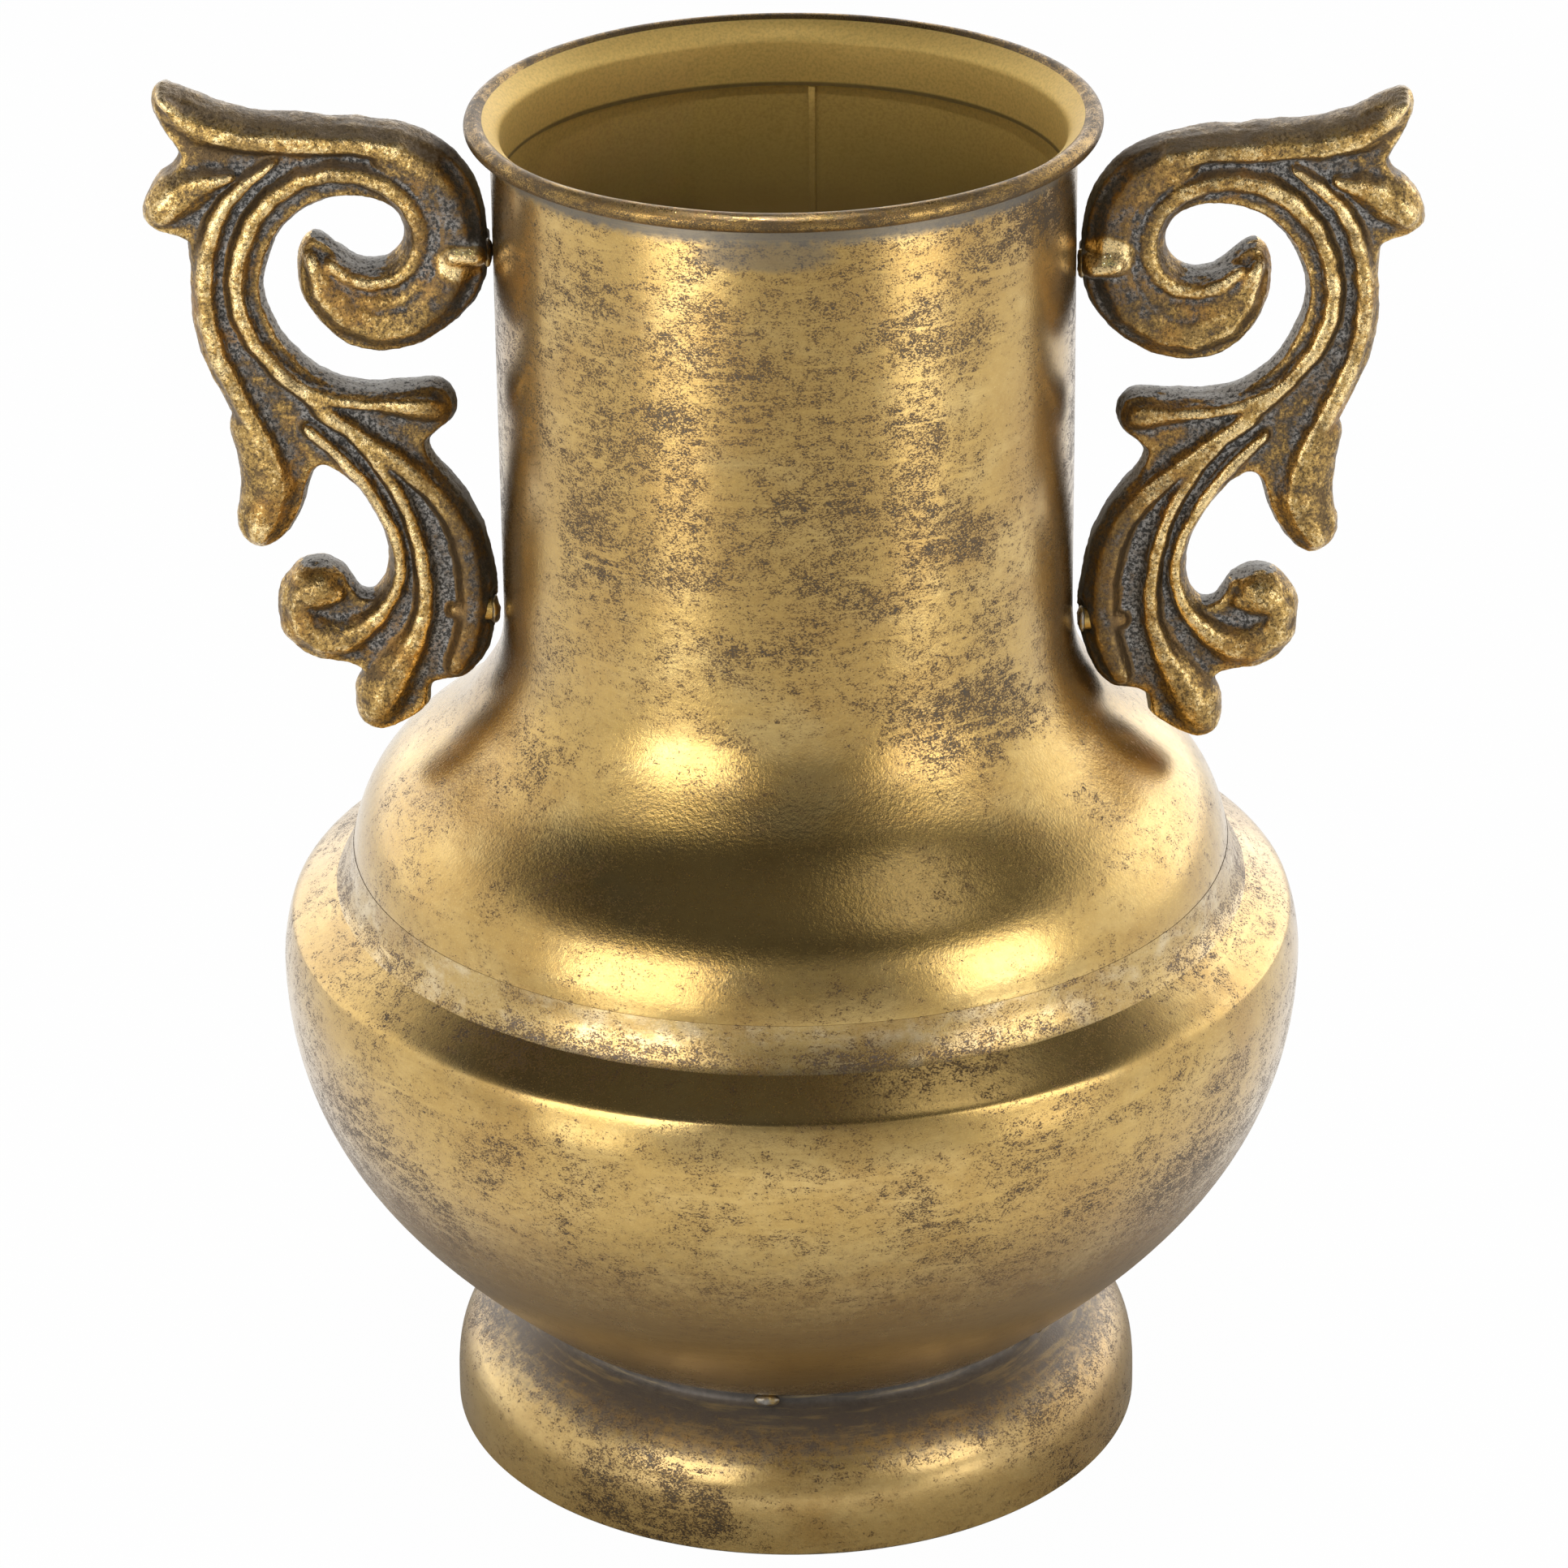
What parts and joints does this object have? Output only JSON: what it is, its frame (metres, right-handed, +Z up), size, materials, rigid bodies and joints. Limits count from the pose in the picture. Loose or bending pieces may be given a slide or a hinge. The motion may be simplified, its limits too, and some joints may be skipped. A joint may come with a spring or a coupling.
{
  "type": "amphora vase",
  "caption": "Footed amphora vase in gold-finished sheet metal: round belly, stepped shoulder, straight neck with rolled lip, and cast acanthus scroll handles.",
  "frame": {"origin": "centre of the foot's base, on the surface that the vase stands on", "axes": "+Z up along the vase's axis, +X towards the right handle, +Y to the back"},
  "size_m": [0.2694, 0.224, 0.3125],
  "materials": {
    "body_gold": "satin antique gold with a fine brown mottle and horizontal brush marks",
    "foot_gold": "satin antique gold, burnt grey-brown towards the top",
    "rim_gold": "antique gold lip, flat olive-gold paint inside",
    "cast_handle": "dark sandy casting with worn gold on its crests",
    "pin_gold": "gold-painted rod",
    "braze": "worn braze metal, partly painted over",
    "wire_steel": "plain drawn wire"
  },
  "bodies": {
    "root": {"foot": "foot_gold", "bowl": "body_gold", "shoulder": "body_gold", "shoulder_braze": "braze", "neck_tube": "body_gold", "neck_seam": "braze", "rim_collar": "rim_gold", "rim_wire": "wire_steel", "left_handle": "cast_handle", "right_handle": "cast_handle", "left_upper_pin": "pin_gold", "left_lower_pin": "pin_gold", "right_upper_pin": "pin_gold", "right_lower_pin": "pin_gold", "left_upper_weld": "braze", "left_lower_weld": "braze", "right_upper_weld": "braze", "right_lower_weld": "braze", "foot_tack_1": "braze", "foot_tack_2": "braze", "foot_tack_3": "braze", "foot_tack_4": "braze", "foot_tack_5": "braze"}
  },
  "joints": []
}
